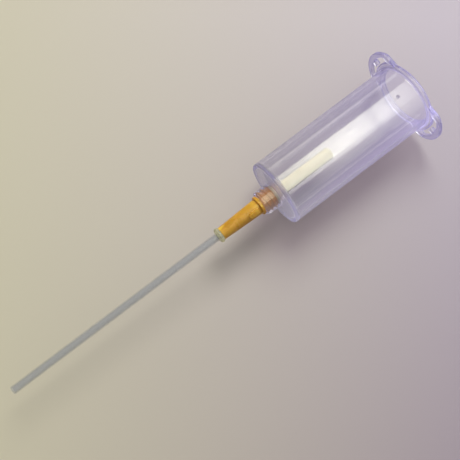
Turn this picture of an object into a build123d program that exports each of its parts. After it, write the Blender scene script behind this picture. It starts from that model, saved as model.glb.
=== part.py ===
from build123d import *
import os
from math import cos, radians, sin, tan

# Vacuum-tube holder with a screw-in adapter, a sleeved rear needle and a long intake straw.
# Frame: +X runs along the device's axis and out of the holder's mouth, +Z is up, the finger ears
# point along +Y and -Y. The origin is the centre of the mouth. Millimetres.
# "Front" is the straw's end (-X) and "rear" is the mouth's end (+X).
# Turned profiles are drawn on Plane.XZ as (x, radius).

# ---- holder ----
BARREL_LEN = 49.55         # mouth plane to the outer face of the end wall
OD_END = 20.15             # outside diameter at the end wall
OD_MOUTH = 20.5            # outside diameter at the flange (moulding draft)
BORE_R = 9.1               # straight stretch of the bore
BORE_STRAIGHT = 24.5       # length of that stretch, from the mouth plane
BORE_R_END = 8.85          # bore radius at the end wall
BORE_CORNER_R = 0.6        # fillet between the bore and the end wall
END_WALL = 1.2
END_EDGE_R = 0.45          # rounded outer edge of the end wall
MOUTH_EDGE = 0.3           # lead-in round the mouth
FLANGE_R = 10.9
FLANGE_T = 1.4
FLANGE_ROOT_R = 0.42       # fillet between the barrel and the flange's front face
FLANGE_OVERLAP = 0.4       # how far the root's profile runs into the flange
# finger ears, in the flange's plane (u = out along Y, v = across, along Z)
EAR_ROOT = 6.0             # u where the outline starts, inside the flange
EAR_HALF_W = 7.85
EAR_TIP = 15.5
EAR_ARC_R = 9.6            # arc of the ear's outer end
EAR_CORNER_R = 2.6         # where that arc meets the straight sides
EAR_BAND = 1.8             # width of the loop's band
EAR_EDGE = 0.22            # chamfer round the plate
SLOT_ROOT = 7.0            # u where the slot's outline starts, inside SLOT_R
SLOT_R = 11.7              # inner wall of the slot, round the flange
SLOT_ARC_R = 11.5          # arc of the slot's outer wall
SLOT_CORNER_R = 0.9
TOOTH_HALF_W = 0.8
TOOTH_TIP = 12.15          # the tooth stops just short of the slot's inner wall
TOOTH_LEN = 3.0            # runs out into the ear's band
TOOTH_EDGE_R = 0.25
# gate mark on the top of the barrel
GATE_X = -7.1
GATE_DEPTH = 0.3
# threaded collar
COLLAR_R = 3.7
COLLAR_LEN = 4.85
COLLAR_EDGE = 0.35
COLLAR_DRAFT = 0.03        # radius gained from the chamfer to the end wall
COLLAR_ROOT_R = 0.3
HOLE_CHAMFER = 0.15        # at each end of the screw hole
END_X = -BARREL_LEN                     # outer face of the end wall
WALL_X = END_X + END_WALL               # inner face of the end wall
COLLAR_X = END_X - COLLAR_LEN           # front face of the collar

# ---- screw thread (right-hand) ----
PITCH = 1.5
MALE_ROOT_R = 1.95
MALE_CREST_R = 2.30
FEMALE_MINOR_R = 2.05
FEMALE_ROOT_R = 2.40
CREST_HALF = 0.175         # half-width of the male ridge at its crest
FLANK = 0.57               # half-width gained per millimetre of depth
AXIAL_CLEAR = 0.08         # axial clearance on each flank
RIDGE_FOOT = 0.12          # depth of a ridge's foot, embedded in the body it stands on
MALE_LEN = 4.35            # from the collar's front face
HELIX_X = COLLAR_X - PITCH              # start of the male helix

# ---- adapter hub ----
NOSE_LEN = 13.05           # nose cone, from its front face to the stop flange
NOSE_R_FRONT = 1.90
NOSE_R_REAR = 2.40
NOSE_EDGE_R = 0.12
STOP_R = 2.93
STOP_T = 1.0
STOP_EDGE_R = 0.3
GROOVE_W = 0.3             # undercut in front of the stop flange
GROOVE_D = 0.14
RIB_W = 1.5
RIB_LEN = 3.35
RIB_PROUD = 0.42
RIB_ANGLE = 121.6          # first rib, from +Y towards +Z; the other is opposite
RIB_GAP = 0.5              # from the rib's rear end to the groove
RIB_RAMP = 0.7             # length over which the front end rises
RIB_START = 0.45           # share of the full height at the foot of that ramp
RIB_EDGE = 0.15            # chamfer at the rear end
RIB_EMBED = 0.25           # depth of the rib's foot inside the cone
RIB_REACH = 3.6            # height of the uncut prism, from the axis
BOSS_R = 1.40
BOSS_LEN = 2.5             # rear boss that the sleeve pushes over
BOSS_EDGE_LEN = 0.25       # lead-in at the boss's rear end
BOSS_EDGE_DEPTH = 0.15
WELL_R = 0.90
WELL_DEPTH = 1.4
SOCKET_DEPTH = 10.0
STOP_X = COLLAR_X - STOP_T              # front face of the stop flange
NOSE_X = STOP_X - NOSE_LEN              # front face of the hub
BOSS_X0 = COLLAR_X + MALE_LEN           # shoulder behind the thread
BOSS_X1 = BOSS_X0 + BOSS_LEN            # rear face of the boss
WELL_X = BOSS_X1 - WELL_DEPTH           # bottom of the well

# ---- straw and its collar ----
STRAW_R = 1.18
STRAW_LUMEN_R = 0.84
STRAW_SEAT_R = 1.15        # the straw's end tapers to this inside the socket
STRAW_EXPOSED = 68.95
STRAW_TIP_R = 0.22
LUMEN_EDGE_LEN = 0.1       # chamfer of the lumen at the tip
LUMEN_EDGE_DEPTH = 0.06
RING_LEN = 1.4
RING_R = 2.25
RING_X = NOSE_X - RING_LEN              # front face of the ring
TIP_X = RING_X - STRAW_EXPOSED          # straw tip
SEAT_X = NOSE_X + SOCKET_DEPTH          # bottom of the straw socket
# bulge of the ring, front to rear: (x, radius)
RING_BULGE = [
    (RING_X, STRAW_R + 0.3),
    (RING_X + 0.22, RING_R - 0.24),
    (RING_X + 0.62, RING_R),
    (RING_X + 1.05, RING_R - 0.05),
    (NOSE_X, NOSE_R_FRONT + 0.04),
]

# ---- rear cannula, adhesive and sleeve ----
CANNULA_R = 0.41
CANNULA_LUMEN_R = 0.27
CANNULA_REAR = 2.4         # tip stands this far short of the sleeve's tip
CANNULA_FRONT = 0.8        # front end reaches this far into the straw
BEVEL_DEG = 18
# meniscus of the adhesive, from the cannula out to the well's wall: (x, radius)
MENISCUS = [
    (BOSS_X1 + 0.32, CANNULA_R),
    (BOSS_X1 + 0.06, CANNULA_R + 0.17),
    (BOSS_X1 - 0.06, WELL_R),
]
SLEEVE_GAP = 0.02          # between the sleeve's base and the shoulder
SLEEVE_TIP_X = END_X + 20.55
SLEEVE_R = 1.95
SLEEVE_R_TIP = 1.86
SLEEVE_DOME_R = 1.1
SLEEVE_BASE_EDGE_R = 0.12
SLEEVE_IN_R = 1.415
SLEEVE_TIP_WALL = 1.9
CAVITY_R_TIP = 0.85
CAVITY_CORNER_R = 0.6
# where the cavity narrows behind the boss, rear to front: (x, radius)
CAVITY_NECK = [(BOSS_X1 + 2.2, 1.2), (BOSS_X1 + 0.6, SLEEVE_IN_R)]
FIT = 0.012                # radial clearance between bonded or pushed-on parts

OVERRUN = 1.0              # how far cutters run past the faces they cut


# ================= shared helpers =================
def outer_r(x):
    """Outside radius of the barrel at x."""
    draft = (OD_MOUTH - OD_END) / 2 / BARREL_LEN
    return OD_MOUTH / 2 + draft * x


def nose_r(x):
    """Radius of the nose cone at x."""
    return NOSE_R_FRONT + (NOSE_R_REAR - NOSE_R_FRONT) * (x - NOSE_X) / NOSE_LEN


def straw_r(x):
    """Outside radius of the straw's seated end at x."""
    return STRAW_R - (STRAW_R - STRAW_SEAT_R) * (x - RING_X) / (SEAT_X - RING_X)


def round_corner(profile, x, r, radius):
    """Fillet the corner of the open profile sketch that is nearest to (x, r)."""
    fillet(profile.vertices().sort_by_distance((x, r, 0))[0], radius)


def thread_ridge(start_x, turns, helix_r, section, envelope):
    """Helical ridge, trimmed by a turned envelope.

    section is (inner radius, half-width there, outer radius, half-width there).
    envelope is an (x, radius) outline whose sloping ends taper the ridge.
    """
    inner_r, inner_half, tip_r, tip_half = section
    with BuildPart() as ridge:
        with BuildLine() as path:
            Helix(
                pitch=PITCH,
                height=turns * PITCH,
                radius=helix_r,
                center=(start_x, 0, 0),
                direction=(1, 0, 0),
            )
        start = path.line @ 0
        outward = Vector(0, start.Y, start.Z)
        section_plane = Plane(
            origin=(start_x, 0, 0), x_dir=outward, z_dir=Vector(1, 0, 0).cross(outward)
        )
        with BuildSketch(section_plane):
            Polygon(
                (inner_r, -inner_half),
                (tip_r, -tip_half),
                (tip_r, tip_half),
                (inner_r, inner_half),
                align=None,
            )
        sweep(path=path.line, is_frenet=True)
        with BuildSketch(Plane.XZ):
            Polygon(*envelope, align=None)
        revolve(axis=Axis.X, mode=Mode.INTERSECT)
    return ridge.part


# ================= tube_holder =================
def tab_outline(root, tip, arc_r, half_w, corner_r):
    """Straight-sided tab from u = root to an arc that reaches u = tip (local x = u, y = v)."""
    side_u = tip - arc_r + (arc_r * arc_r - half_w * half_w) ** 0.5
    with BuildSketch() as tab:
        with BuildLine():
            Polyline((root, half_w), (root, -half_w), (side_u, -half_w))
            ThreePointArc((side_u, -half_w), (tip, 0), (side_u, half_w))
            Line((side_u, half_w), (root, half_w))
        make_face()
        fillet(tab.vertices().filter_by(lambda p: p.X > 10), corner_r)
    return tab.sketch


def make_ear_slot():
    """C-shaped slot, which a tooth from the outer band nearly splits in two."""
    half_w = EAR_HALF_W - EAR_BAND
    outline = tab_outline(SLOT_ROOT, EAR_TIP - EAR_BAND, SLOT_ARC_R, half_w, SLOT_CORNER_R)
    with BuildSketch() as slot:
        add(outline)
        Circle(SLOT_R, mode=Mode.SUBTRACT)
        with Locations((TOOTH_TIP + TOOTH_LEN / 2, 0)):
            Rectangle(TOOTH_LEN, 2 * TOOTH_HALF_W, mode=Mode.SUBTRACT)
        tooth_corners = slot.vertices().filter_by(
            lambda p: abs(abs(p.Y) - TOOTH_HALF_W) < 0.01
        )
        wall_corners = slot.vertices().filter_by(
            lambda p: abs(abs(p.Y) - half_w) < 0.01 and p.X < 10.5
        )
        fillet(tooth_corners, TOOTH_EDGE_R)
        fillet(wall_corners, TOOTH_EDGE_R)
    return slot.sketch


def make_flange_plate():
    """Flange and both ears, still without the bore."""
    ear = tab_outline(EAR_ROOT, EAR_TIP, EAR_ARC_R, EAR_HALF_W, EAR_CORNER_R)
    slot = make_ear_slot()
    # local x is +Y, local y is +Z and the normal is +X
    plate_plane = Plane(origin=(-FLANGE_T, 0, 0), x_dir=(0, 1, 0), z_dir=(1, 0, 0))
    with BuildPart() as plate:
        with BuildSketch(plate_plane):
            Circle(FLANGE_R)
            add(ear)
            mirror(ear, about=Plane.YZ)
            add(slot, mode=Mode.SUBTRACT)
            mirror(slot, about=Plane.YZ, mode=Mode.SUBTRACT)
        extrude(amount=FLANGE_T)
        chamfer(plate.edges().filter_by(Plane.YZ), EAR_EDGE)
    return plate.part


def make_female_ridge():
    """Ridge of the female thread, half a pitch from the male one."""
    tip_half = PITCH / 2 - CREST_HALF - (MALE_CREST_R - FEMALE_MINOR_R) * FLANK - AXIAL_CLEAR
    foot_r = FEMALE_ROOT_R + RIDGE_FOOT
    foot_half = tip_half + (foot_r - FEMALE_MINOR_R) * FLANK
    front_x = COLLAR_X + HOLE_CHAMFER
    rear_x = WALL_X - HOLE_CHAMFER
    envelope = [
        (front_x, FEMALE_ROOT_R + 0.3),
        (front_x, FEMALE_ROOT_R + 0.04),
        (COLLAR_X + 0.6, FEMALE_MINOR_R - 0.1),
        (WALL_X - 0.6, FEMALE_MINOR_R - 0.1),
        (rear_x, FEMALE_ROOT_R + 0.04),
        (rear_x, FEMALE_ROOT_R + 0.3),
    ]
    section = (FEMALE_MINOR_R, tip_half, foot_r, foot_half)
    return thread_ridge(HELIX_X + PITCH / 2, 6, FEMALE_ROOT_R, section, envelope)


def make_tube_holder():
    flange_plate = make_flange_plate()
    female_ridge = make_female_ridge()
    root_x = -FLANGE_T - FLANGE_ROOT_R
    root_r = outer_r(root_x) + FLANGE_ROOT_R
    root_mid = FLANGE_ROOT_R * sin(radians(45))
    with BuildPart() as holder:
        # barrel and collar outside, end wall and bore, as one turned profile
        with BuildSketch(Plane.XZ) as profile:
            with BuildLine():
                Polyline(
                    (COLLAR_X, 0),
                    (COLLAR_X, COLLAR_R - COLLAR_EDGE),
                    (COLLAR_X + COLLAR_EDGE, COLLAR_R),
                    (END_X, COLLAR_R + COLLAR_DRAFT),
                    (END_X, OD_END / 2),
                    (root_x, outer_r(root_x)),
                )
                ThreePointArc(
                    (root_x, outer_r(root_x)),
                    (root_x + root_mid, root_r - root_mid),
                    (-FLANGE_T, root_r),
                )
                Polyline(
                    (-FLANGE_T, root_r),
                    (-FLANGE_T + FLANGE_OVERLAP, root_r),
                    (-FLANGE_T + FLANGE_OVERLAP, OD_MOUTH / 2),
                    (0, OD_MOUTH / 2),
                    (0, BORE_R + MOUTH_EDGE),
                    (-MOUTH_EDGE, BORE_R),
                    (-BORE_STRAIGHT, BORE_R),
                    (WALL_X, BORE_R_END),
                    (WALL_X, 0),
                    (COLLAR_X, 0),
                )
            make_face()
            round_corner(profile, END_X, OD_END / 2, END_EDGE_R)
            round_corner(profile, WALL_X, BORE_R_END, BORE_CORNER_R)
            round_corner(profile, END_X, COLLAR_R, COLLAR_ROOT_R)
        revolve(axis=Axis.X)
        # flange and ears, cut back to the bore
        add(flange_plate)
        with BuildSketch(Plane.XZ):
            Polygon(
                (-FLANGE_T - OVERRUN, 0),
                (-FLANGE_T - OVERRUN, BORE_R),
                (-MOUTH_EDGE, BORE_R),
                (0, BORE_R + MOUTH_EDGE),
                (OVERRUN, BORE_R + MOUTH_EDGE + OVERRUN),
                (OVERRUN, 0),
                align=None,
            )
        revolve(axis=Axis.X, mode=Mode.SUBTRACT)
        # screw hole through the collar and the end wall, chamfered at each end, then its thread
        flare_r = FEMALE_ROOT_R + HOLE_CHAMFER + OVERRUN
        with BuildSketch(Plane.XZ):
            Polygon(
                (COLLAR_X - OVERRUN, 0),
                (COLLAR_X - OVERRUN, flare_r),
                (COLLAR_X + HOLE_CHAMFER, FEMALE_ROOT_R),
                (WALL_X - HOLE_CHAMFER, FEMALE_ROOT_R),
                (WALL_X + OVERRUN, flare_r),
                (WALL_X + OVERRUN, 0),
                align=None,
            )
        revolve(axis=Axis.X, mode=Mode.SUBTRACT)
        add(female_ridge)
        # gate mark: a shallow round dimple on top of the barrel
        with Locations((GATE_X, 0, outer_r(GATE_X) + GATE_DEPTH)):
            Sphere(2 * GATE_DEPTH, mode=Mode.SUBTRACT)
    return holder.part


# ================= adapter_hub =================
def make_male_ridge():
    """Ridge of the male thread, in phase with the female groove."""
    foot_r = MALE_ROOT_R - RIDGE_FOOT
    foot_half = CREST_HALF + (MALE_CREST_R - foot_r) * FLANK
    envelope = [
        (COLLAR_X + 0.3, 0),
        (COLLAR_X + 0.3, MALE_ROOT_R - 0.05),
        (COLLAR_X + 0.75, MALE_CREST_R + 0.1),
        (BOSS_X0 - 0.65, MALE_CREST_R + 0.1),
        (BOSS_X0 - 0.1, MALE_ROOT_R - 0.05),
        (BOSS_X0 - 0.1, 0),
    ]
    section = (foot_r, foot_half, MALE_CREST_R, CREST_HALF)
    return thread_ridge(HELIX_X, 5, MALE_ROOT_R, section, envelope)


def make_grip_ribs():
    """Two pads, round at the front, from prisms cut by a cone standing proud of the nose."""
    rear_x = STOP_X - GROOVE_W - RIB_GAP
    front_x = rear_x - RIB_LEN
    round_x = front_x + RIB_W / 2       # centre of the round end
    ramp_x = front_x + RIB_RAMP
    start_x = front_x - OVERRUN
    with BuildPart() as ribs:
        for turn in range(2):
            angle = radians(RIB_ANGLE + 180 * turn)
            outward = Vector(0, cos(angle), sin(angle))
            with BuildSketch(Plane(origin=(0, 0, 0), x_dir=(1, 0, 0), z_dir=outward)):
                with Locations(((round_x + rear_x) / 2, 0)):
                    Rectangle(rear_x - round_x, RIB_W)
                with Locations((round_x, 0)):
                    Circle(RIB_W / 2)
            extrude(amount=RIB_REACH)
        with BuildSketch(Plane.XZ):
            Polygon(
                (start_x, nose_r(start_x) - RIB_EMBED),
                (start_x, nose_r(front_x) - 0.1),
                (front_x, nose_r(front_x) + RIB_PROUD * RIB_START),
                (ramp_x, nose_r(ramp_x) + RIB_PROUD),
                (rear_x - RIB_EDGE, nose_r(rear_x) + RIB_PROUD),
                (rear_x, nose_r(rear_x) + RIB_PROUD - RIB_EDGE),
                (rear_x, nose_r(rear_x) - RIB_EMBED),
                align=None,
            )
        revolve(axis=Axis.X, mode=Mode.INTERSECT)
    return ribs.part


def make_adapter_hub():
    male_ridge = make_male_ridge()
    grip_ribs = make_grip_ribs()
    groove_x = STOP_X - GROOVE_W
    groove_r = nose_r(STOP_X) - GROOVE_D
    with BuildPart() as hub:
        with BuildSketch(Plane.XZ) as profile:
            with BuildLine():
                Polyline(
                    (NOSE_X, straw_r(NOSE_X) + FIT),
                    (NOSE_X, NOSE_R_FRONT),
                    (groove_x, nose_r(groove_x)),
                    (groove_x, groove_r),
                    (STOP_X, groove_r),
                    (STOP_X, STOP_R),
                    (COLLAR_X, STOP_R),
                    (COLLAR_X, MALE_ROOT_R),
                    (BOSS_X0, MALE_ROOT_R),
                    (BOSS_X0, BOSS_R),
                    (BOSS_X1 - BOSS_EDGE_LEN, BOSS_R),
                    (BOSS_X1, BOSS_R - BOSS_EDGE_DEPTH),
                    (BOSS_X1, WELL_R),
                    (WELL_X, WELL_R),
                    (WELL_X, CANNULA_R + FIT),
                    (SEAT_X, CANNULA_R + FIT),
                    (SEAT_X, straw_r(SEAT_X) + FIT),
                    close=True,
                )
            make_face()
            round_corner(profile, STOP_X, STOP_R, STOP_EDGE_R)
            round_corner(profile, COLLAR_X, STOP_R, STOP_EDGE_R)
            round_corner(profile, NOSE_X, NOSE_R_FRONT, NOSE_EDGE_R)
        revolve(axis=Axis.X)
        add(male_ridge)
        add(grip_ribs)
    return hub.part


# ================= intake_straw =================
def make_intake_straw():
    with BuildPart() as straw:
        with BuildSketch(Plane.XZ) as profile:
            with BuildLine():
                Polyline(
                    (TIP_X, STRAW_LUMEN_R + LUMEN_EDGE_DEPTH),
                    (TIP_X, STRAW_R),
                    (RING_X, STRAW_R),
                    (SEAT_X, STRAW_SEAT_R),
                    (SEAT_X, STRAW_LUMEN_R),
                    (TIP_X + LUMEN_EDGE_LEN, STRAW_LUMEN_R),
                    close=True,
                )
            make_face()
            round_corner(profile, TIP_X, STRAW_R, STRAW_TIP_R)
        revolve(axis=Axis.X)
    return straw.part


# ================= straw_collar =================
def make_straw_collar():
    """Bulged ring round the straw, against the hub's front face."""
    with BuildPart() as ring:
        with BuildSketch(Plane.XZ):
            with BuildLine():
                Polyline(
                    RING_BULGE[-1],
                    (NOSE_X, STRAW_R + FIT),
                    (RING_X, STRAW_R + FIT),
                    RING_BULGE[0],
                )
                Spline(*RING_BULGE)
            make_face()
        revolve(axis=Axis.X)
    return ring.part


# ================= rear_cannula =================
def make_rear_cannula():
    """Steel tube, glued in the hub and open into the straw, with its point on the -Z side."""
    front_x = SEAT_X - CANNULA_FRONT
    rear_x = SLEEVE_TIP_X - CANNULA_REAR
    # the bevel's cutter rises past the tube's top
    cut_rise = 1.5 * 2 * CANNULA_R
    cut_run = cut_rise / tan(radians(BEVEL_DEG))
    with BuildPart() as cannula:
        with BuildSketch(Plane(origin=(front_x, 0, 0), x_dir=(0, 1, 0), z_dir=(1, 0, 0))):
            Circle(CANNULA_R)
            Circle(CANNULA_LUMEN_R, mode=Mode.SUBTRACT)
        extrude(amount=rear_x - front_x)
        with BuildSketch(Plane.XZ):
            Polygon(
                (rear_x, -CANNULA_R),
                (rear_x - cut_run, -CANNULA_R + cut_rise),
                (rear_x + OVERRUN, -CANNULA_R + cut_rise),
                (rear_x + OVERRUN, -CANNULA_R),
                align=None,
            )
        extrude(amount=2, both=True, mode=Mode.SUBTRACT)
    return cannula.part


# ================= cannula_bond =================
def make_cannula_bond():
    """Adhesive that fills the well in the boss round the cannula."""
    with BuildPart() as bond:
        with BuildSketch(Plane.XZ):
            with BuildLine():
                Polyline(
                    MENISCUS[-1],
                    (WELL_X, WELL_R),
                    (WELL_X, CANNULA_R),
                    MENISCUS[0],
                )
                ThreePointArc(*MENISCUS)
            make_face()
        revolve(axis=Axis.X)
    return bond.part


# ================= needle_sleeve =================
def make_needle_sleeve():
    """Soft boot, pushed over the boss and closed at its tip."""
    base_x = BOSS_X0 + SLEEVE_GAP
    cavity_x = SLEEVE_TIP_X - SLEEVE_TIP_WALL
    with BuildPart() as sleeve:
        with BuildSketch(Plane.XZ) as profile:
            with BuildLine():
                Polyline(
                    (base_x, SLEEVE_IN_R),
                    (base_x, SLEEVE_R),
                    (SLEEVE_TIP_X, SLEEVE_R_TIP),
                    (SLEEVE_TIP_X, 0),
                    (cavity_x, 0),
                    (cavity_x, CAVITY_R_TIP),
                    *CAVITY_NECK,
                    close=True,
                )
            make_face()
            round_corner(profile, SLEEVE_TIP_X, SLEEVE_R_TIP, SLEEVE_DOME_R)
            round_corner(profile, cavity_x, CAVITY_R_TIP, CAVITY_CORNER_R)
            round_corner(profile, base_x, SLEEVE_R, SLEEVE_BASE_EDGE_R)
        revolve(axis=Axis.X)
    return sleeve.part


PIECES = {
    "tube_holder": make_tube_holder,
    "adapter_hub": make_adapter_hub,
    "intake_straw": make_intake_straw,
    "straw_collar": make_straw_collar,
    "rear_cannula": make_rear_cannula,
    "cannula_bond": make_cannula_bond,
    "needle_sleeve": make_needle_sleeve,
}

os.makedirs("parts", exist_ok=True)
for name, make_piece in PIECES.items():
    piece = make_piece()
    piece.label = name
    export_step(piece, f"parts/{name}.step")
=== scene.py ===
# A clear tube holder with an amber hub, a needle in a rubber sleeve and a long clear straw.
# All of it lies along the X axis: the holder's mouth is at x = 0, its end wall near x = -50 mm,
# the sleeved needle points into the holder (+X) and the straw's tip is at x = -138.8 mm.
# Shapes are worked out in mm and built in metres; materials, lights and camera are in metres.
import bpy
import bmesh
import math
from mathutils import Matrix, Vector


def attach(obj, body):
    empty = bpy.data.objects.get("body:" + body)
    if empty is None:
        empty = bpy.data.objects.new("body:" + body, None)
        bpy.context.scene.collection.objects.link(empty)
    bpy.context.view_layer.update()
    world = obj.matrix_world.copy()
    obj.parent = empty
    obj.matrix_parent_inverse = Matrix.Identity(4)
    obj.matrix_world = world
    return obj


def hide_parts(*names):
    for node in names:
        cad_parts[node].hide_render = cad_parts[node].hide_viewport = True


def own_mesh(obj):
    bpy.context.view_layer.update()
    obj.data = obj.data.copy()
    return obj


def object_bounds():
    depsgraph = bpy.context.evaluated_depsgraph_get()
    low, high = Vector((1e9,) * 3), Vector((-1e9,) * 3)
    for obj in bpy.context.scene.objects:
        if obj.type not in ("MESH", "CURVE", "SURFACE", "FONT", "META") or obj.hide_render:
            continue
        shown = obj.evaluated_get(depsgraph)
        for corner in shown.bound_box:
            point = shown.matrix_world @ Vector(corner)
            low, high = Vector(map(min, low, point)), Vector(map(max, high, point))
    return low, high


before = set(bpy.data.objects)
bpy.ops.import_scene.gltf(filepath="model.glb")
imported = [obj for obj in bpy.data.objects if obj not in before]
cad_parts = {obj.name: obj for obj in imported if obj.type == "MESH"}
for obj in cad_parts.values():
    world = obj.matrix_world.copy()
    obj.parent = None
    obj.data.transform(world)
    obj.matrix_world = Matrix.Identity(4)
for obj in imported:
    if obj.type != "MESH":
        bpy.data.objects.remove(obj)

CAD_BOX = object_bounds()
MM = 0.001

END_X = -49.55  # mm, narrow end of the holder, where the sleeve is mounted
GATE_X = -7.1  # mm, round gate mark on the top of the barrel
VIEW_X = -0.0658  # m, the place on the axis that the view is centred on
VIEW_ROLL = math.radians(36.95)  # how far the axis is turned in the view

# ------------------------------------------------------------------ node helpers

NOISE_SPAN = (0.3, 0.7)  # the part of a noise's range that is put to use


class Tree:
    """The emptied node tree of a material or world, with short ways to add and join nodes.
    Any input can be given as a value or as the socket that feeds it; colours are RGB."""

    def __init__(self, owner):
        owner.use_nodes = True
        self.nodes = owner.node_tree.nodes
        self.links = owner.node_tree.links
        self.nodes.clear()

    def node(self, kind, inputs=None, **settings):
        made = self.nodes.new("ShaderNode" + kind)
        for key, value in settings.items():
            setattr(made, key, value)
        for key, value in (inputs or {}).items():
            socket = made.inputs[key]
            if isinstance(value, bpy.types.NodeSocket):
                self.links.new(value, socket)
            elif socket.type == "RGBA":
                socket.default_value = (*value, 1)
            else:
                socket.default_value = value
        return made

    def first(self, kind, inputs=None, **settings):
        """The first output of a new node."""
        return self.node(kind, inputs, **settings).outputs[0]

    def object_coords(self):
        return self.node("TexCoord").outputs["Object"]

    def xyz(self, vector):
        return tuple(self.node("SeparateXYZ", {0: vector}).outputs)

    def math(self, operation, *values, clamp=False):
        return self.first("Math", dict(enumerate(values)), operation=operation, use_clamp=clamp)

    def times(self, product, *factors):
        for factor in factors:
            product = self.math("MULTIPLY", product, factor)
        return product

    def plus(self, a, b):
        return self.math("ADD", a, b)

    def remap(self, source, span, to=(0, 1)):
        """Carries the range span over to the range to, clamped at both ends."""
        return self.first("MapRange", {0: source, 1: span[0], 2: span[1], 3: to[0], 4: to[1]})

    def window(self, source, rise, fall):
        """1 between the two ranges, fading to 0 through each."""
        return self.times(self.remap(source, rise), self.remap(source, fall, (1, 0)))

    def mix(self, factor, a, b):
        made = self.node("Mix", {0: factor, 6: a, 7: b}, data_type="RGBA")
        return made.outputs[2]

    def blend(self, factor, a, b):
        return self.first("MixShader", {0: factor, 1: a, 2: b})

    def ramp(self, source, stops):
        made = self.node("ValToRGB", {0: source})
        elements = made.color_ramp.elements
        while len(elements) < len(stops):
            elements.new(0.5)
        for element, (position, colour) in zip(elements, stops):
            element.position = position
            element.color = (*colour, 1)
        return made.outputs[0]

    def noise(self, vector, scale, detail):
        return self.first("TexNoise", {"Vector": vector, "Scale": scale, "Detail": detail})

    def streaks(self, coords, along, across):
        """Noise drawn out along X, from its scales along and across that axis."""
        drawn = self.first("Mapping", {0: coords, "Scale": (along, across, across)})
        return self.noise(drawn, scale=1.0, detail=3.0)

    def bump(self, height, strength, distance):
        inputs = {"Height": height, "Strength": strength, "Distance": distance}
        return self.first("Bump", inputs)

    def facing(self, weight, normal=None):
        inputs = {0: weight}
        if normal:
            inputs["Normal"] = normal
        return self.node("LayerWeight", inputs).outputs["Facing"]

    def turn_normal(self, normal, source, target):
        return self.first("VectorTransform", {0: normal}, vector_type="NORMAL",
                          convert_from=source, convert_to=target)

    def output(self, surface):
        return self.node("OutputMaterial", {"Surface": surface})


def new_material(name):
    made = bpy.data.materials.new(name)
    return made, Tree(made)


# ------------------------------------------------------------------ clear plastics


def radial_normal(tree, coords):
    """The exact radial direction on the holder's turned walls, so that the mesh's facets don't
    show in refractions. Elsewhere the mesh's own normal."""
    wall_start, wall_end, fade = -0.0482, -0.0022, 0.0002
    geometry = tree.node("NewGeometry")
    flat = tree.turn_normal(geometry.outputs["True Normal"], "WORLD", "OBJECT")
    x, y, z = tree.xyz(coords)
    across = tree.first("CombineXYZ", {1: y, 2: z})
    radial = tree.first("VectorMath", {0: across}, operation="NORMALIZE")
    agreement = tree.node("VectorMath", {0: radial, 1: flat},
                          operation="DOT_PRODUCT").outputs["Value"]
    # +1 where the face looks outwards, -1 where it looks inwards
    outwards = tree.math("GREATER_THAN", agreement, 0.0)
    sign = tree.math("MULTIPLY_ADD", outwards, 2.0, -1.0)
    signed = tree.first("VectorMath", {0: radial, "Scale": sign}, operation="SCALE")
    exact = tree.turn_normal(signed, "OBJECT", "WORLD")
    is_wall = tree.times(
        tree.remap(tree.math("ABSOLUTE", agreement), span=(0.985, 0.990)),
        tree.remap(x, span=(wall_start, wall_start + fade)),
        tree.remap(x, span=(wall_end - fade, wall_end), to=(1, 0)))
    mixed = tree.node("Mix", {0: is_wall, 4: geometry.outputs["Normal"], 5: exact},
                      data_type="VECTOR").outputs[1]
    return tree.first("VectorMath", {0: mixed}, operation="NORMALIZE")


def holder_haze(tree, x, radius, haze):
    """Makes the holder's thicker mouldings milkier."""
    ears = tree.remap(radius, span=(0.0107, 0.0117), to=(0.0, 0.20))
    end_wall = tree.times(
        tree.remap(x, span=(-0.0486, -0.0483), to=(1.0, 0.0)),
        tree.remap(x, span=(-0.0499, -0.0496)),
        0.06)
    past_wall = tree.remap(x, span=(-0.0503, -0.0499), to=(-0.01, 0.0))
    ear_root = tree.times(
        tree.remap(x, span=(-0.0021, -0.0018)),
        tree.remap(x, span=(-0.0014, -0.0013), to=(1.0, 0.0)),
        tree.remap(radius, span=(0.0101, 0.01015)),
        tree.remap(radius, span=(0.01085, 0.0110), to=(1.0, 0.0)),
        0.42)
    for extra in (ears, end_wall, past_wall, ear_root):
        haze = tree.math("ADD", haze, extra, clamp=True)
    return haze


def gate_mark(tree, coords, body):
    """Lays the gate mark over the holder's plastic: a rough spot, darkened with painted shade for
    the dimple's turned-away reflection.
    """
    centre = (GATE_X * MM, 0.0, 0.01052)
    distance = tree.node("VectorMath", {0: coords, 1: centre},
                         operation="DISTANCE").outputs["Value"]
    # painted shade: the spot's dark colour stands in for the dimple's dark reflection
    spot = tree.first("BsdfDiffuse", {0: (0.16, 0.14, 0.24)})
    amount = tree.remap(distance, span=(0.00060, 0.00063), to=(0.24, 0.0))
    return tree.blend(amount, body, spot)


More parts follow.
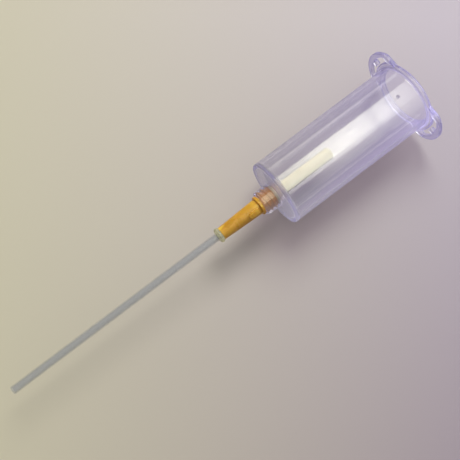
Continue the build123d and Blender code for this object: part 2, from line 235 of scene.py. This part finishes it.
def clear_plastic(name, tint, rough, ior, absorb, density, shadow, haze_narrow, haze_mouth,
                  haze_span, glow, streak=0.0, holder=False):
    """Clear moulded plastic: refracting, with a thin milky haze that grows towards grazing angles
    through haze_span. Its colour runs from haze_narrow at the narrow end to haze_mouth."""
    made, tree = new_material(name)
    coords = tree.object_coords()
    x, y, z = tree.xyz(coords)
    normal = radial_normal(tree, coords) if holder else None
    # flow streaks of the moulding run along the axis
    flow = tree.streaks(coords, along=6.0, across=420.0)
    inputs = {
        "Base Color": tint,
        "IOR": ior,
        "Transmission Weight": 1.0,
        "Roughness": tree.remap(flow, NOISE_SPAN, to=(rough * 0.7, rough * 1.3)),
    }
    if normal:
        inputs["Normal"] = normal
    refracting = tree.first("BsdfPrincipled", inputs)

    # the haze scatters light both back and through
    along = tree.remap(x, span=(-0.050, 0.0))
    colour = tree.mix(along, haze_narrow, haze_mouth)
    dimming = tree.remap(flow, NOISE_SPAN, to=(0.0, streak))
    colour = tree.mix(dimming, colour, tuple(c * 0.7 for c in haze_narrow))
    darkening = 0.22
    lit = tree.mix(darkening, colour, (0, 0, 0))
    through_share = 0.5
    scattered = tree.blend(through_share, tree.first("BsdfDiffuse", {0: lit}),
                           tree.first("BsdfTranslucent", {0: lit}))
    # painted glow: a faint emission standing in for light that has bounced about inside the
    # plastic
    strength = glow
    if holder:
        # painted light: the glow is stronger on the -Y side, away from the key light, and dim
        # again at the far -Y edge
        strength = tree.times(
            tree.remap(y, span=(0.009, -0.008), to=(glow * 0.5, glow * 3.0)),
            tree.remap(y, span=(-0.0112, -0.0104), to=(0.3, 1.0)))
    painted_glow_shader = tree.first("Emission", {0: colour, 1: strength})
    hazy = tree.first("AddShader", {0: scattered, 1: painted_glow_shader})
    haze = tree.remap(tree.facing(0.35, normal), span=(0.05, 0.95), to=haze_span)
    if holder:
        across = tree.first("CombineXYZ", {1: y, 2: z})
        radius = tree.node("VectorMath", {0: across}, operation="LENGTH").outputs["Value"]
        haze = holder_haze(tree, x, radius, haze)
    body = tree.blend(haze, refracting, hazy)

    if holder:
        # the thread's flanks touch the hub's, so little light is bent or reflected between them
        near_axis = tree.remap(radius, span=(0.0030, 0.0033), to=(1.0, 0.0))
        beyond_wall = tree.remap(x, span=(-0.0484, -0.0482), to=(1.0, 0.0))
        unbent_share = tree.times(near_axis, beyond_wall, 0.8)
        unbent = tree.first("BsdfTransparent", {0: (0.95, 0.93, 0.90)})
        body = tree.blend(unbent_share, body, unbent)
        body = gate_mark(tree, coords, body)
        shadow = tree.mix(beyond_wall, shadow, (0.97, 0.96, 0.95))

    # room light that scatters off the floor passes more freely than the lamp's
    light_path = tree.node("LightPath").outputs
    room_light = tree.first("BsdfTransparent", {0: (0.90, 0.885, 0.91)})
    body = tree.blend(light_path["Is Diffuse Ray"], body, room_light)
    cast = tree.first("BsdfTransparent", {0: shadow})
    output = tree.output(tree.blend(light_path["Is Shadow Ray"], body, cast))
    volume = tree.first("VolumeAbsorption", {"Color": absorb, "Density": density})
    tree.links.new(volume, output.inputs["Volume"])
    return made


def straw_plastic():
    """A slim clear tube: greyish, a little clearer towards its edges, with a soft sheen."""
    made, tree = new_material("straw_clear")
    drawn = tree.streaks(tree.object_coords(), along=12.0, across=1800.0)
    facing = tree.facing(0.5)
    clear = tree.first("BsdfTransparent", {0: tree.ramp(facing, [
        (0.0, (0.885, 0.89, 0.90)),
        (0.45, (0.905, 0.91, 0.915)),
        (0.8, (0.915, 0.915, 0.92)),
        (0.97, (0.90, 0.90, 0.90)),
    ])})
    hazy = tree.first("BsdfDiffuse", {0: tree.ramp(drawn, [
        (0.3, (0.45, 0.475, 0.50)),
        (0.7, (0.56, 0.585, 0.61)),
    ])})
    body = tree.blend(tree.remap(facing, span=(0.0, 0.9), to=(0.17, 0.09)), clear, hazy)
    # only the outward side of the surface reflects
    sheen = tree.first("BsdfGlossy", {"Roughness": tree.remap(drawn, NOISE_SPAN, (0.08, 0.16))})
    fresnel = tree.first("Fresnel", {"IOR": 1.46})
    backfacing = tree.node("NewGeometry").outputs["Backfacing"]
    reflecting = tree.times(fresnel, tree.remap(backfacing, span=(0.0, 1.0), to=(1.0, 0.0)))
    body = tree.blend(reflecting, body, sheen)
    cast = tree.first("BsdfTransparent", {0: (0.86, 0.86, 0.865)})
    is_shadow = tree.node("LightPath").outputs["Is Shadow Ray"]
    tree.output(tree.blend(is_shadow, body, cast))
    return made


# ------------------------------------------------------------------ opaque materials


def amber_plastic():
    made, tree = new_material("hub_amber")
    coords = tree.object_coords()
    mottle = tree.noise(coords, scale=260.0, detail=3.0)
    grain = tree.noise(coords, scale=4500.0, detail=2.0)
    colour = tree.ramp(mottle, [
        (0.3, (0.48, 0.235, 0.012)),
        (0.55, (0.55, 0.285, 0.018)),
        (0.75, (0.62, 0.34, 0.028)),
    ])
    # paler on the raised edges
    pointiness = tree.node("NewGeometry").outputs["Pointiness"]
    edge = tree.remap(pointiness, span=(0.52, 0.60), to=(0.0, 0.6))
    colour = tree.mix(edge, colour, (0.86, 0.60, 0.07))
    # painted light: the threaded end is coloured more orange and given a faint glow, standing in
    # for light coming through the collar
    thread_start = (-0.05445, -0.0542)
    x, y, z = tree.xyz(coords)
    colour = tree.mix(tree.remap(x, thread_start), colour, (0.58, 0.27, 0.04))
    tree.output(tree.first("BsdfPrincipled", {
        "Base Color": colour,
        "IOR": 1.5,
        "Emission Color": colour,
        "Emission Strength": tree.remap(x, thread_start, to=(0.0, 0.05)),
        "Subsurface Weight": 0.35,
        "Subsurface Radius": (1.0, 0.45, 0.08),
        "Subsurface Scale": 0.0012,
        "Roughness": tree.remap(mottle, NOISE_SPAN, to=(0.24, 0.36)),
        "Normal": tree.bump(grain, strength=0.12, distance=0.00003),
    }))
    return made


def cream_rubber():
    made, tree = new_material("sleeve_rubber_cream")
    coords = tree.object_coords()
    mottle = tree.noise(coords, scale=420.0, detail=4.0)
    grain = tree.noise(coords, scale=6000.0, detail=2.0)
    colour = tree.ramp(mottle, [(0.3, (0.63, 0.59, 0.33)), (0.7, (0.70, 0.67, 0.43))])
    # painted shade: darker towards grazing angles, standing in for the shade along the sleeve's
    # edges
    grazing = tree.remap(tree.facing(0.5), span=(0.5, 0.88), to=(0.0, 0.95))
    colour = tree.mix(grazing, colour, (0.10, 0.09, 0.06))
    tree.output(tree.first("BsdfPrincipled", {
        "Base Color": colour,
        "Subsurface Weight": 0.4,
        "Subsurface Radius": (1.0, 0.8, 0.5),
        "Subsurface Scale": 0.0008,
        "Roughness": tree.remap(mottle, NOISE_SPAN, to=(0.5, 0.7)),
        "Normal": tree.bump(grain, strength=0.3, distance=0.00003),
    }))
    return made


def drawn_steel():
    made, tree = new_material("cannula_steel_drawn")
    drawn = tree.streaks(tree.object_coords(), along=200, across=9000)
    tree.output(tree.first("BsdfPrincipled", {
        "Metallic": 1.0,
        "Base Color": tree.ramp(drawn, [(0.3, (0.50, 0.51, 0.53)), (0.7, (0.68, 0.69, 0.71))]),
        "Roughness": tree.remap(drawn, NOISE_SPAN, to=(0.16, 0.32)),
        "Normal": tree.bump(drawn, strength=0.2, distance=0.00001),
    }))
    return made


HOLDER = clear_plastic(
    "holder_clear", tint=(0.975, 0.97, 0.99), rough=0.035, ior=1.50,
    absorb=(0.52, 0.44, 0.90), density=62.0, shadow=(0.735, 0.695, 0.715),
    haze_narrow=(0.585, 0.58, 0.69), haze_mouth=(0.62, 0.57, 0.94), haze_span=(0.09, 0.42),
    glow=0.17, streak=0.22, holder=True)
STRAW = straw_plastic()
COLLAR = clear_plastic(
    "ring_translucent", tint=(0.93, 0.93, 0.80), rough=0.16, ior=1.47,
    absorb=(0.85, 0.85, 0.45), density=260.0, shadow=(0.7, 0.7, 0.6),
    haze_narrow=(0.74, 0.72, 0.54), haze_mouth=(0.74, 0.72, 0.54), haze_span=(0.35, 0.5),
    glow=0.2)
BOND = clear_plastic(
    "bond_clear", tint=(0.93, 0.90, 0.80), rough=0.06, ior=1.50,
    absorb=(0.9, 0.8, 0.5), density=120.0, shadow=(0.8, 0.78, 0.7),
    haze_narrow=(0.8, 0.75, 0.6), haze_mouth=(0.8, 0.75, 0.6), haze_span=(0.12, 0.25),
    glow=0.1)
HUB = amber_plastic()
RUBBER = cream_rubber()
STEEL = drawn_steel()

for piece, material in (
    ("tube_holder", HOLDER),
    ("adapter_hub", HUB),
    ("intake_straw", STRAW),
    ("straw_collar", COLLAR),
    ("rear_cannula", STEEL),
    ("cannula_bond", BOND),
    ("needle_sleeve", RUBBER),
):
    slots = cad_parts[piece].data.materials
    slots.clear()
    slots.append(material)

# ------------------------------------------------------------------ mesh helpers


def link_object(name, data):
    made = bpy.data.objects.new(name, data)
    bpy.context.collection.objects.link(made)
    return made


def mesh_object(name, bm, mesh=None):
    """Writes bm into mesh, or into a new one, and makes an object of it."""
    mesh = mesh or bpy.data.meshes.new(name)
    bm.to_mesh(mesh)
    bm.free()
    return link_object(name, mesh)


def shade_smooth(bm, keep_creases):
    for face in bm.faces:
        face.smooth = True
    if keep_creases:
        crease = math.radians(28)
        for edge in bm.edges:
            is_sharp = len(edge.link_faces) == 2 and edge.calc_face_angle(0) > crease
            edge.smooth = not is_sharp


def lathe_rows(bm, points, segments):
    """A ring of vertices about X for each (x, radius) in mm, or a single one at radius 0."""
    rows = []
    for x, radius in points:
        if radius <= 1e-6:
            rows.append([bm.verts.new((x * MM, 0, 0))])
            continue
        turns = [2 * math.pi * j / segments for j in range(segments)]
        rows.append([
            bm.verts.new((x * MM, radius * MM * math.cos(turn), radius * MM * math.sin(turn)))
            for turn in turns])
    return rows


def skin(bm, rows):
    """Joins each row of vertices to the next."""
    for low, high in zip(rows, rows[1:]):
        count = len(low)
        for j in range(count):
            following = (j + 1) % count
            if len(high) == 1:
                bm.faces.new((low[j], low[following], high[0]))
            else:
                bm.faces.new((low[j], low[following], high[following], high[j]))


def line(start, end, count):
    """count even steps from start to end, without start itself."""
    return [tuple(a + (b - a) * i / count for a, b in zip(start, end))
            for i in range(1, count + 1)]


def rounded_end(x, radius, rounding, angles):
    """Points of a rounded corner that closes a turned wall at x, towards +X."""
    return [(x - rounding + rounding * math.sin(math.radians(a)),
             radius - rounding + rounding * math.cos(math.radians(a))) for a in angles]


# ------------------------------------------------------------------ holder

BARREL_START, BARREL_END = -48.3, -1.9
CUT_PITCH = 1.15
WALL_MARGIN = 0.03  # how far off the true cone a wall vertex can be
GATE_LENGTH, GATE_WIDTH = 1.6, 1.3  # half sizes of the patch left alone round the gate mark


def outer_wall(x):
    return 10.25 - 0.175 * x / END_X


def inner_wall(x):
    """Straight from the mouth, then narrowing from halfway."""
    taper_start, taper_length, narrowing = -24.5, 23.85, 0.25
    return 9.1 - narrowing * max(0.0, taper_start - x) / taper_length


def finer_holder(source):
    """The holder's mesh cut into short lengths along the barrel, with every wall vertex put on
    the true cone, so that light bends through it evenly."""
    mesh = source.data.copy()
    mesh.name = "holder_shell"
    bm = bmesh.new()
    bm.from_mesh(mesh)
    bmesh.ops.remove_doubles(bm, verts=bm.verts, dist=1e-6)
    cut = BARREL_START + 0.4
    while cut < BARREL_END - 0.3:
        bmesh.ops.bisect_plane(bm, geom=[*bm.verts, *bm.edges, *bm.faces], dist=1e-7,
                               plane_co=(cut * MM, 0, 0), plane_no=(1, 0, 0))
        cut += CUT_PITCH
    for vert in bm.verts:
        x, y, z = (value / MM for value in vert.co)
        if not BARREL_START < x < BARREL_END:
            continue
        if abs(y) < GATE_WIDTH and z > 0 and abs(x - GATE_X) < GATE_LENGTH:
            continue
        radius = math.hypot(y, z)
        for wall in (outer_wall(x), inner_wall(x)):
            if abs(radius - wall) < WALL_MARGIN:
                vert.co.y = y * wall / radius * MM
                vert.co.z = z * wall / radius * MM
    bm.normal_update()
    shade_smooth(bm, keep_creases=True)
    return mesh_object("holder_shell", bm, mesh)


shell = finer_holder(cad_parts["tube_holder"])
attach(shell, "holder")
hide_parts("tube_holder")

# ------------------------------------------------------------------ straw

STRAW_TIP, COLLAR_X, STRAW_SEAT = -138.80, -69.85, -58.45
STRAW_RADIUS, SEAT_RADIUS, BORE_RADIUS = 1.18, 1.15, 0.84
TIP_BORE_RADIUS = 0.90  # the bore flares to this at the tip
BORE_FLARE = 0.1  # length of that flare
TIP_ROUNDING = 0.22


def build_straw():
    """A plain tube with a rounded tip, its seated end tapering into the hub's socket."""
    rim = STRAW_RADIUS - TIP_ROUNDING
    outline = [(STRAW_TIP, TIP_BORE_RADIUS), (STRAW_TIP, rim)]
    outline += [(STRAW_TIP + TIP_ROUNDING * (1 - math.cos(math.radians(a))),
                 rim + TIP_ROUNDING * math.sin(math.radians(a))) for a in range(15, 91, 15)]
    outline += line((STRAW_TIP + TIP_ROUNDING, STRAW_RADIUS), (COLLAR_X, STRAW_RADIUS), 110)
    outline += line((COLLAR_X, STRAW_RADIUS), (STRAW_SEAT, SEAT_RADIUS), 12)
    outline += [(STRAW_SEAT, BORE_RADIUS)]
    outline += line(outline[-1], (STRAW_TIP + BORE_FLARE, BORE_RADIUS), 120)
    bm = bmesh.new()
    rows = lathe_rows(bm, outline, segments=72)
    skin(bm, rows + rows[:1])
    bmesh.ops.recalc_face_normals(bm, faces=bm.faces)
    shade_smooth(bm, keep_creases=True)
    made = mesh_object("straw_tube", bm)
    made.data.materials.append(STRAW)
    return made


straw = build_straw()
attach(straw, "adapter")
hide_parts("intake_straw")

# ------------------------------------------------------------------ needle sleeve

SLEEVE_BASE, SLEEVE_TIP = END_X - 0.48, END_X + 20.55
SLEEVE_LENGTH = SLEEVE_TIP - SLEEVE_BASE
BASE_RADIUS, TIP_RADIUS = 1.945, 1.855
BASE_ROUNDING, SLEEVE_ROUNDING = 0.2, 0.75
RING_PITCH, RING_DEPTH = 0.85, 0.035
PLAIN_BASE, PLAIN_TIP = 3.2, 2.4  # lengths without rings; the rings fade in over 1 mm
OUTER_STEPS = 150
SOCKET_RADIUS, SOCKET_END = 1.425, END_X + 2.6
CAVITY_START, CAVITY_END = END_X + 3.0, SLEEVE_TIP - 1.9
CAVITY_RADIUS, CAVITY_TIP_RADIUS, CAVITY_ROUNDING = 1.30, 1.0, 0.5


def sleeve_radius(x):
    """The ringed outer wall, rounded at its base."""
    height = x - SLEEVE_BASE
    radius = BASE_RADIUS + (TIP_RADIUS - BASE_RADIUS) * height / SLEEVE_LENGTH
    fade_in = min(1.0, max(0.0, height - PLAIN_BASE))
    fade_out = min(1.0, max(0.0, SLEEVE_TIP - PLAIN_TIP - x))
    wave = 0.5 - 0.5 * math.cos(2 * math.pi * height / RING_PITCH)
    radius -= RING_DEPTH * fade_in * fade_out * wave
    if height < BASE_ROUNDING:
        inset = BASE_ROUNDING - height
        radius -= BASE_ROUNDING - math.sqrt(BASE_ROUNDING ** 2 - inset ** 2)
    return radius


def build_sleeve():
    """A moulded rubber tube with a closed, rounded tip and faint rings like those of a bellows."""
    stations = [SLEEVE_BASE + SLEEVE_LENGTH * i / OUTER_STEPS for i in range(OUTER_STEPS + 1)]
    wall_end = SLEEVE_TIP - SLEEVE_ROUNDING - 0.01
    outer = [(x, sleeve_radius(x)) for x in stations if x < wall_end]
    outer += rounded_end(SLEEVE_TIP, TIP_RADIUS, SLEEVE_ROUNDING, range(0, 91, 10))
    outer.append((SLEEVE_TIP, 0.0))
    inner = [
        (SLEEVE_BASE, SOCKET_RADIUS),
        (SOCKET_END, SOCKET_RADIUS),
        (CAVITY_START, CAVITY_RADIUS),
    ]
    inner += line(inner[-1], (CAVITY_END - CAVITY_ROUNDING, CAVITY_TIP_RADIUS), 30)
    inner += rounded_end(CAVITY_END, CAVITY_TIP_RADIUS, CAVITY_ROUNDING, (30, 60, 90))
    inner.append((CAVITY_END, 0.0))

    bm = bmesh.new()
    outer_rows = lathe_rows(bm, outer, segments=64)
    inner_rows = lathe_rows(bm, inner, segments=64)
    skin(bm, outer_rows)
    skin(bm, inner_rows)
    skin(bm, [outer_rows[0], inner_rows[0]])
    bmesh.ops.recalc_face_normals(bm, faces=bm.faces)
    shade_smooth(bm, keep_creases=False)
    made = mesh_object("sleeve_rubber_tube", bm)
    made.data.materials.append(RUBBER)
    return made


sleeve = build_sleeve()
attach(sleeve, "adapter")
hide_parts("needle_sleeve")
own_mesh(sleeve)

# ------------------------------------------------------------------ camera


def level_with_x(direction):
    """The unit vector square to direction that lies nearest to +X."""
    return (Vector((1, 0, 0)) - direction * direction.x).normalized()


def placement(position, x_axis, y_axis, z_axis):
    turned = Matrix((x_axis, y_axis, z_axis)).transposed()
    return Matrix.Translation(position) @ turned.to_4x4()


def add_camera():
    lean_x, lean_y = math.radians(7.1), math.radians(5.6)  # off the vertical, to -X and to -Y
    distance = 0.186
    shift = 0.000591818  # moves the view across the axis
    back = Vector((-math.sin(lean_x), -math.cos(lean_x) * math.sin(lean_y),
                   math.cos(lean_x) * math.cos(lean_y)))
    along = level_with_x(back)
    across = back.cross(along)
    right = along * math.cos(VIEW_ROLL) - across * math.sin(VIEW_ROLL)
    up = along * math.sin(VIEW_ROLL) + across * math.cos(VIEW_ROLL)
    target = Vector((VIEW_X, 0, 0)) - across * shift
    data = bpy.data.cameras.new("camera")
    data.sensor_width = 36
    data.lens = 51.652174
    data.clip_start = 0.005
    data.clip_end = 20
    camera = link_object("camera", data)
    camera.matrix_world = placement(target + back * distance, right, up, back)
    bpy.context.scene.camera = camera


add_camera()

# ------------------------------------------------------------------ floor


def floor_material():
    """Pale, with a soft change of colour between the four corners of the view, and painted shade
    darkening it towards the lower right.
    """
    made, tree = new_material("floor_pale")
    # floor coordinates turned so that x runs along the view's width
    centred = tree.first("Mapping", {0: tree.object_coords(), "Location": (-VIEW_X, 0, 0)})
    turned = tree.first("VectorRotate", {"Vector": centred, "Angle": VIEW_ROLL},
                        rotation_type="Z_AXIS")
    x, y, z = tree.xyz(turned)
    view_span = (-0.068, 0.068)
    rightwards = tree.remap(x, view_span)
    upwards = tree.remap(y, view_span)
    # painted shade: the lower right corner is the darkest
    top = tree.mix(rightwards, (0.556, 0.526, 0.404), (0.509, 0.464, 0.511))
    bottom = tree.mix(rightwards, (0.593, 0.561, 0.405), (0.381, 0.327, 0.364))
    tree.output(tree.first("BsdfPrincipled", {
        "Base Color": tree.mix(upwards, bottom, top),
        "Roughness": 0.75,
        "Specular IOR Level": 0.1,
    }))
    return made


def add_floor():
    gap = 0.00002  # keeps the floor clear of the lowest piece
    bm = bmesh.new()
    bmesh.ops.create_grid(bm, x_segments=2, y_segments=2, size=3.0)
    floor = mesh_object("floor", bm)
    floor.location = (0, 0, CAD_BOX[0].z - gap)
    floor.data.materials.append(floor_material())


add_floor()

# ------------------------------------------------------------------ light


def add_key_light():
    """A disk above, towards +X and +Y, that makes the soft shadow."""
    data = bpy.data.lights.new("key", "AREA")
    data.shape = "DISK"
    data.size = data.size_y = 0.34
    data.energy = 3.2
    data.color = (1.0, 0.985, 0.96)
    key = link_object("key", data)
    aim = Vector((-0.05, 0, 0))
    distance = 0.6
    position = aim + Vector((0.62, 0.62, 1.0)).normalized() * distance
    back = (position - aim).normalized()
    level = level_with_x(back)
    key.matrix_world = placement(position, level, back.cross(level), back)
    key.visible_glossy = False
    key.visible_transmission = False


def soft_box_material():
    """A broad bright band overhead, a dimmer shoulder on its -Y side, a thin line near each side
    and a faint glow all over. Angles are degrees from +Z, positive towards +Y."""
    made, tree = new_material("soft_box_glow")
    x, y, z = tree.xyz(tree.object_coords())
    angle = tree.remap(tree.math("ARCTAN2", y, z), span=(math.radians(-180), math.radians(180)),
                       to=(-180, 180))
    # the band's brightness along X
    peak = tree.times(0.20, tree.window(x, (0.07, 0.12), (0.18, 0.24)))
    lengthways = tree.times(
        tree.plus(0.80, peak),
        tree.remap(x, span=(0.165, 0.25), to=(1.0, 0.46)),
        tree.remap(x, span=(-0.01, 0.065), to=(0.12, 1.0)),
        tree.remap(x, span=(-0.06, -0.02)))
    # the last factor of each is its strength
    band = tree.times(tree.window(angle, (-26.5, -24.5), (32.0, 34.5)), lengthways, 7.4)
    shoulder_lengthways = tree.times(
        tree.remap(x, span=(0.085, 0.135)),
        tree.remap(x, span=(0.17, 0.27), to=(1.0, 0.25)))
    shoulder = tree.times(
        tree.window(angle, (-80, -34), (-26.0, -24.0)), shoulder_lengthways, 4.2)
    beside = tree.remap(x, span=(0.02, 0.07))
    line_plus_y = tree.times(tree.window(angle, (68, 71), (76, 79)), beside, 2.4)
    line_minus_y = tree.times(tree.window(angle, (-97, -94), (-89, -86)), beside, 2.6)
    base = tree.times(tree.window(angle, (-118, -60), (60, 118)), 0.5)
    lines = tree.plus(line_plus_y, line_minus_y)
    strength = tree.plus(tree.plus(tree.plus(band, shoulder), lines), base)
    tint = tree.mix(tree.remap(x, span=(0.10, 0.26)), (0.99, 1.0, 0.76), (0.97, 1.0, 0.88))
    tree.output(tree.first("Emission", {0: tint, 1: strength}))
    return made


def add_soft_box():
    """A curved sheet over the object, seen only in reflections and refractions."""
    radius, rows, half_arc = 0.5, 96, 118
    start_x, end_x = -0.7, 1.1
    bm = bmesh.new()
    pairs = []
    for i in range(rows + 1):
        angle = math.radians(-half_arc + 2 * half_arc * i / rows)
        y, z = radius * math.sin(angle), radius * math.cos(angle)
        pairs.append((bm.verts.new((start_x, y, z)), bm.verts.new((end_x, y, z))))
    for (a0, a1), (b0, b1) in zip(pairs, pairs[1:]):
        bm.faces.new((a0, a1, b1, b0))
    box = mesh_object("soft_box", bm)
    box.data.materials.append(soft_box_material())
    box.visible_camera = False
    box.visible_diffuse = False
    box.visible_shadow = False


add_key_light()
add_soft_box()

world = bpy.data.worlds.new("studio")
bpy.context.scene.world = world
sky = Tree(world)
background = sky.first("Background", {"Color": (0.92, 0.90, 0.95), "Strength": 0.45})
sky.node("OutputWorld", {"Surface": background})

# ------------------------------------------------------------------ render settings

scene = bpy.context.scene
scene.view_settings.view_transform = "Standard"
scene.cycles.max_bounces = 24
scene.cycles.transmission_bounces = 24
scene.cycles.transparent_max_bounces = 32
scene.cycles.glossy_bounces = 8
scene.cycles.diffuse_bounces = 3
scene.cycles.caustics_reflective = False
scene.cycles.caustics_refractive = False
